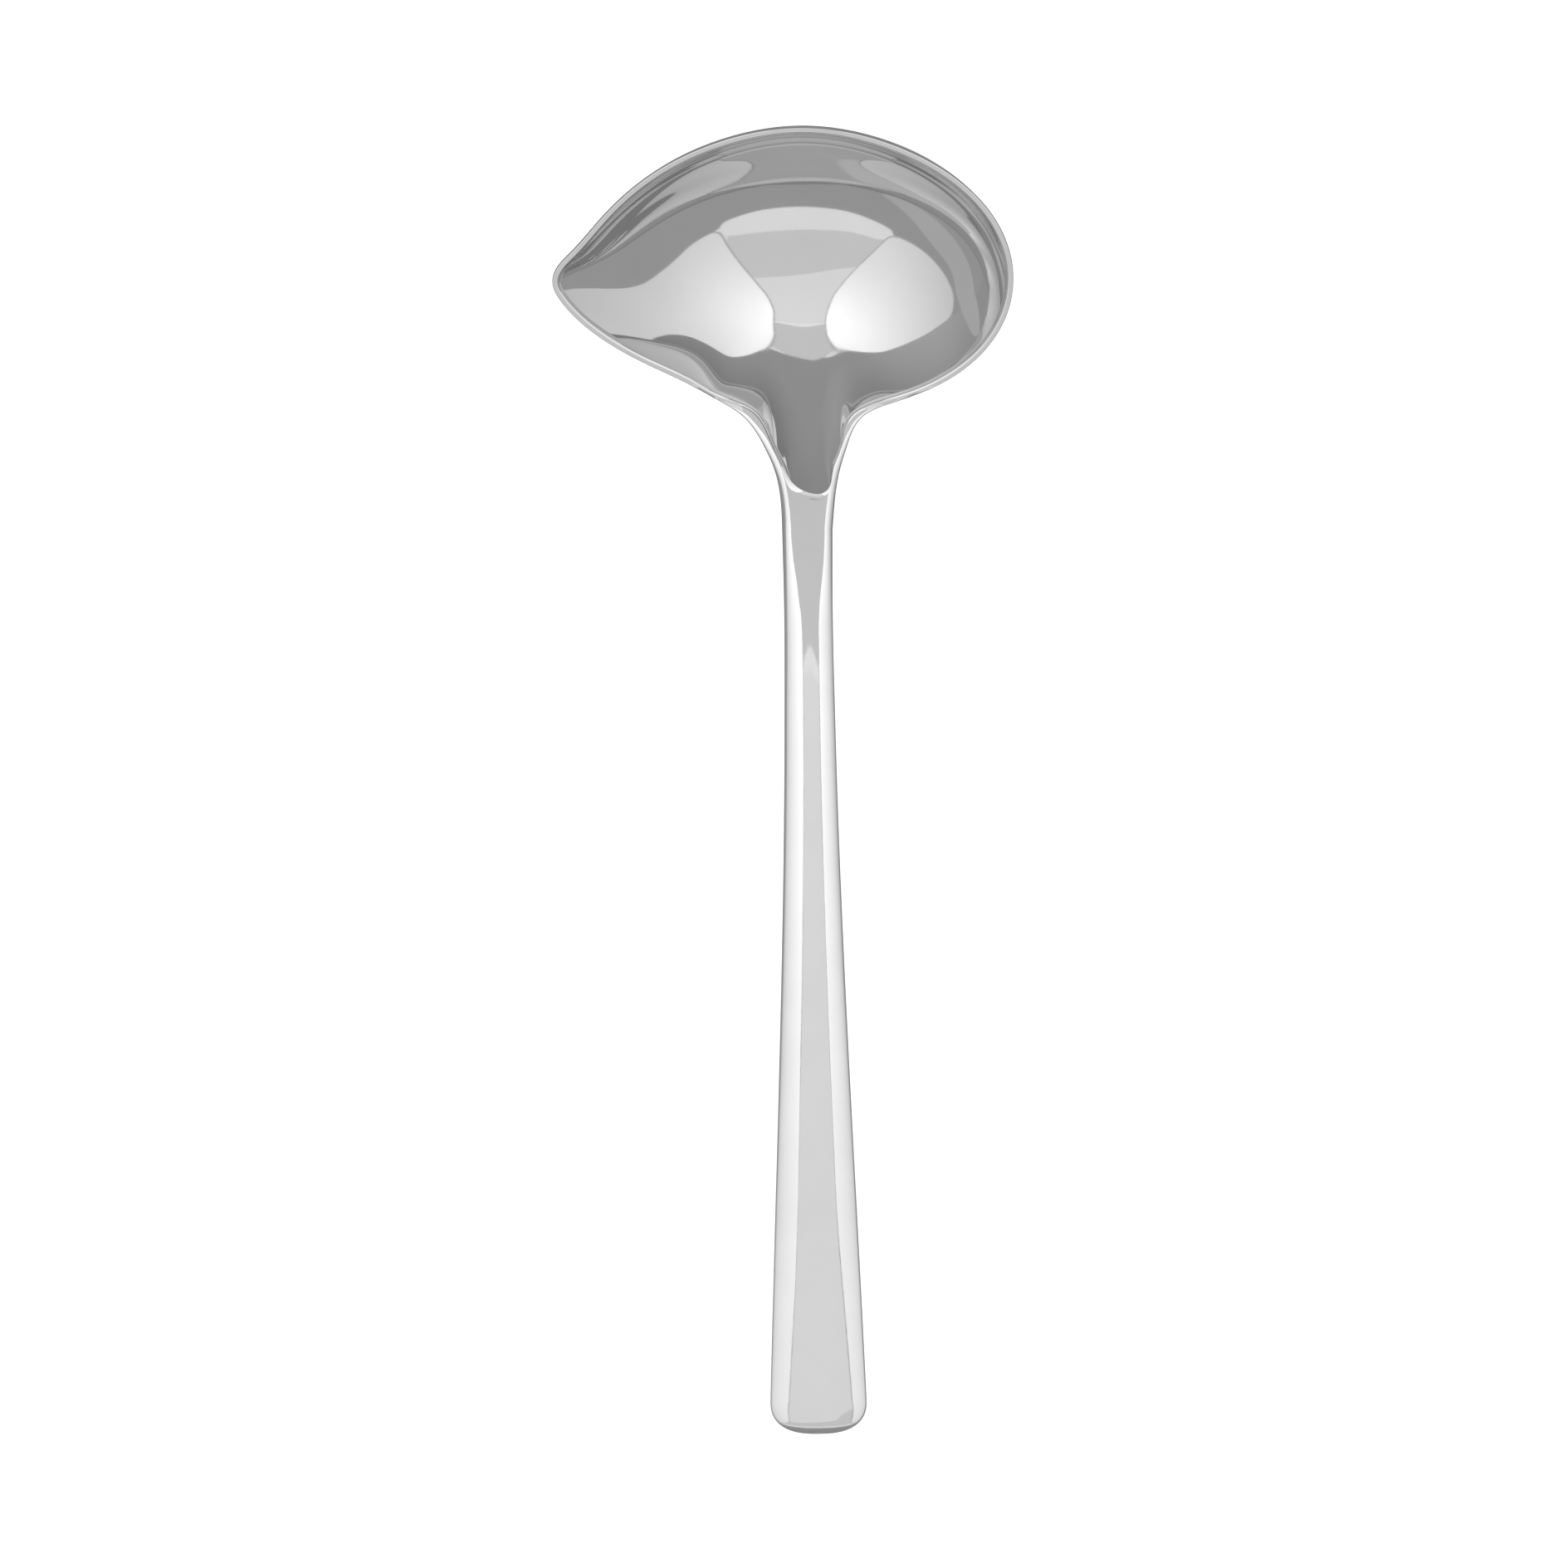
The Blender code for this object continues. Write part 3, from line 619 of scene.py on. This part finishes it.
lit = node(tree, "ShaderNodeAddShader", {}, {0: (paper, 0), 1: (glow, 0)})
dim = node(tree, "ShaderNodeBsdfDiffuse", {"Color": linear("#C4C4C4")}, {})
both = node(tree, "ShaderNodeMixShader", {}, {0: (seen, "Is Camera Ray"), 1: (dim, 0), 2: (lit, 0)})
node(tree, "ShaderNodeOutputMaterial", {}, {"Surface": (both, 0)})
floor_data.materials.append(white)

# ---- Studio light ----
# A round light tent of cloth over the table: a pale roof and a bright soft panel on each side of
# it, with a gap between them along the handle. Dimmer cloth hangs round the foot of the tent, and
# beyond that is the grey room. All outlines are pairs of a turn and a lean, in degrees.

TENT_RADIUS = 1.2
BRIGHT_ALONG = 0.14  # where the panels are brightest, along the ladle
ALONG_WEIGHT = 0.6  # they fade less along the ladle than to its sides
REPEAT_LOSS = 0.72  # the share of a panel's light left in a second or later reflection
SEAM_SPREAD = 1.022  # the softboxes' dark cloth edges, about a degree wide
CORNER_PASSES = 3  # how often an outline's corners are cut, which rounds them
CORNER_CUT = 0.2
PANEL_RINGS = 24
PANEL_HEART = 0.04  # the share of a panel inside its first ring


def direction(turn, lean):
    """Unit direction from a turn about the vertical and a lean away from it, in degrees."""
    turn, lean = np.radians(turn), np.radians(lean)
    return np.stack([np.sin(lean) * np.cos(turn), np.sin(lean) * np.sin(turn), np.cos(lean)], axis=-1)


def tent_panel(name, outline, layer, near_glow, far_glow, spread=1.0):
    """A fan of quads from the middle of an outline, on the tent's dome; it gives out light only."""
    ring = direction(*np.array(outline, float).T)
    for _ in range(CORNER_PASSES):
        step = (np.roll(ring, -1, axis=0) - ring) * CORNER_CUT
        ring = np.stack([ring + step, np.roll(ring, -1, axis=0) - step], axis=1).reshape(-1, 3)
    ring /= np.linalg.norm(ring, axis=1)[:, None]
    middle = ring.mean(axis=0)
    ring = middle + (ring - middle) * spread
    rings = []
    for part in np.linspace(PANEL_HEART, 1, PANEL_RINGS):
        spoke = middle + (ring - middle) * part
        rings.append(spoke / np.linalg.norm(spoke, axis=1)[:, None])
    spokes = np.array(rings)
    points = (spokes * TENT_RADIUS * layer + place).reshape(-1, 3)
    around = len(ring)
    faces = []
    for i in range(len(rings) - 1):
        for j in range(around):
            k = (j + 1) % around
            faces.append((i * around + j, (i + 1) * around + j, (i + 1) * around + k, i * around + k))
    faces.append(list(range(around)))
    data = bpy.data.meshes.new(name)
    data.from_pydata(points.tolist(), [], faces)
    aside, along, _ = spokes.reshape(-1, 3).T
    apart = np.clip(np.hypot(aside, ALONG_WEIGHT * (along - BRIGHT_ALONG)), 0, 1)
    glow = near_glow + (far_glow - near_glow) * apart
    layer_data = data.color_attributes.new("glow", "FLOAT_COLOR", "POINT")
    layer_data.data.foreach_set("color", np.stack([glow, glow, glow, np.ones_like(glow)], axis=1).ravel())
    panel = bpy.data.objects.new(name, data)
    bpy.context.scene.collection.objects.link(panel)
    material = bpy.data.materials.new(name + "_light")
    material.use_nodes = True
    tree = material.node_tree
    tree.nodes.clear()
    level = node(tree, "ShaderNodeAttribute", {"attribute_name": "glow"}, {})
    path = node(tree, "ShaderNodeLightPath", {}, {})
    repeats = node(
        tree, "ShaderNodeMapRange",
        {"From Min": 1.0, "From Max": 2.0, "To Min": 0.0, "To Max": 1.0}, {"Value": (path, "Ray Depth")},
    )
    loss = node(tree, "ShaderNodeMath", {"operation": "POWER", 0: REPEAT_LOSS}, {1: (repeats, 0)})
    lamp = node(tree, "ShaderNodeEmission", {}, {"Color": (level, "Color"), "Strength": (loss, 0)})
    node(tree, "ShaderNodeOutputMaterial", {}, {"Surface": (lamp, 0)})
    data.materials.append(material)
    panel.visible_camera = False
    panel.visible_shadow = False


RIGHT_PANEL = (
    (-68, 70), (-66, 57), (-63, 44), (-58, 31), (-50, 20), (-17, 11), (32, 13), (53, 19), (58, 26),
    (59, 31), (57, 38), (48, 45), (39, 50), (33, 52), (32, 57), (36, 65), (43, 75), (51, 85), (48, 91),
    (25, 91), (0, 91), (-4, 80), (-9, 68), (-18, 65), (-20, 59), (-28, 57), (-46, 61), (-58, 67),
)
LEFT_PANEL = (
    (-115, 67), (-114, 57), (-114, 45), (-116, 33), (-123, 17), (-172, 7), (138, 9), (119, 16),
    (118, 24), (120, 33), (130, 37), (143, 40), (160, 47), (170, 52), (178, 58), (-167, 61),
    (-149, 62), (-129, 65),
)
ROOF = (
    (-69, 71), (-74, 73), (-80, 74), (-90, 74), (-100, 73), (-108, 71), (-115, 67), (-149, 60),
    (180, 56), (143, 38), (120, 31), (108, 25), (90, 24), (72, 25), (58, 30), (45, 44), (31, 54),
    (-28, 55), (-58, 65),
)
ROOF_EDGE = (
    (-68, 65), (-69, 73), (-80, 76), (-90, 76), (-100, 75), (-116, 69), (-114, 62), (-102, 65), (-90, 65),
    (-81, 65),
)
ROOF_CLOTH = (
    (-60, 37), (-67, 66), (-81, 67), (-90, 67), (-102, 67), (-116, 64), (-117, 46), (-105, 41), (-88, 34),
    (-70, 35),
)
SCREEN = (
    (24, 13), (80, 8), (142, 10), (128, 17), (126, 24), (117, 27), (100, 25), (79, 24), (62, 28), (52, 24),
)
SCREEN_EDGE = ((22, 12.6), (80, 7), (145, 9.4), (145, 10.6), (80, 8.4), (22, 14.2))
SKIRT = (
    (178, 58), (-167, 61), (-149, 62), (-129, 65), (-115, 67), (-108, 71), (-100, 73), (-90, 74),
    (-80, 74), (-74, 73), (-69, 71), (-58, 67), (-46, 61), (-28, 57), (-20, 59), (-18, 65), (-9, 68),
    (-4, 80), (0, 90), (-45, 90), (-90, 90), (-135, 90), (-160, 90), (-172, 76), (-176, 66),
)
SIDE_CLOTH = (
    (-129, 71), (-150, 67), (-163, 63), (-172, 63), (179, 65), (168, 72), (164, 78), (168, 82), (175, 74),
    (-172, 75), (-160, 78), (-145, 82), (-129, 86), (-115, 90), (-105, 90), (-112, 84),
)
# Each panel hangs at its own share of the tent's radius, so that the nearer one covers the next;
# then come its glow where it is brightest and where it is darkest.
tent_panel("right_softbox", RIGHT_PANEL, 0.960, 1.38, 0.50)
tent_panel("left_softbox", LEFT_PANEL, 0.960, 1.38, 0.50)
tent_panel("right_seam", RIGHT_PANEL, 0.965, 0.40, 0.40, SEAM_SPREAD)
tent_panel("left_seam", LEFT_PANEL, 0.965, 0.40, 0.40, SEAM_SPREAD)
tent_panel("screen_edge", SCREEN_EDGE, 0.970, 0.88, 0.88)
tent_panel("camera_screen", SCREEN, 0.975, 0.62, 0.60)
tent_panel("roof_edge", ROOF_EDGE, 0.980, 0.80, 0.78)
tent_panel("roof_cloth", ROOF_CLOTH, 0.985, 0.64, 0.60)
tent_panel("tent_roof", ROOF, 0.990, 0.80, 0.72)
tent_panel("side_cloth", SIDE_CLOTH, 1.000, 0.42, 0.42)
tent_panel("tent_skirt", SKIRT, 1.010, 0.35, 0.33)

ROOM_LOW = 0.19
ROOM_HIGH = 0.31
ROOM_SIDE = 0.12  # how much brighter the room is on the left
world = bpy.data.worlds.new("studio")
world.use_nodes = True
tree = world.node_tree
background = tree.nodes["Background"]
sky = node(tree, "ShaderNodeTexCoord", {}, {})
sky_axes = node(tree, "ShaderNodeSeparateXYZ", {}, {"Vector": (sky, "Generated")})
shade = node(
    tree, "ShaderNodeMapRange",
    {"From Min": 0.25, "From Max": 0.75, "To Min": ROOM_LOW, "To Max": ROOM_HIGH},
    {"Value": (sky_axes, "Z")},
)
side = node(
    tree, "ShaderNodeMapRange",
    {"From Min": -0.25, "From Max": -0.75, "To Min": 0.0, "To Max": ROOM_SIDE}, {"Value": (sky_axes, "X")},
)
room = node(tree, "ShaderNodeMath", {"operation": "ADD"}, {0: (shade, "Result"), 1: (side, "Result")})
tree.links.new(room.outputs[0], background.inputs["Color"])
background.inputs["Strength"].default_value = 1.0
bpy.context.scene.world = world

# ---- Camera ----
# It looks straight down on the ladle from two metres, turned so that the handle points down.

CAMERA_HEIGHT = 2.0
VIEW_WIDTH = 0.2220
SENSOR = 36.0
CAMERA_TURN = -math.atan(0.0129)
CAMERA_ASIDE = -0.00075  # from over the middle of the ladle
CAMERA_ALONG = -0.00006
AIM_HEIGHT = 0.010
CLIP_END = 10.0
camera_data = bpy.data.cameras.new("camera")
camera_data.sensor_width = SENSOR
camera_data.lens = SENSOR * CAMERA_HEIGHT / VIEW_WIDTH
camera_data.clip_end = CLIP_END
camera = bpy.data.objects.new("camera", camera_data)
middle = (np.array(cad_box[0]) + np.array(cad_box[1])) / 2
camera.location = (middle[0] + CAMERA_ASIDE, middle[1] + CAMERA_ALONG, AIM_HEIGHT + CAMERA_HEIGHT)
camera.rotation_euler = (0, 0, CAMERA_TURN)
bpy.context.scene.collection.objects.link(camera)
bpy.context.scene.camera = camera
GLOSSY_BOUNCES = 12  # a reflection repeats many times under the rounded rim
bpy.context.scene.view_settings.view_transform = "Standard"
bpy.context.scene.cycles.glossy_bounces = GLOSSY_BOUNCES
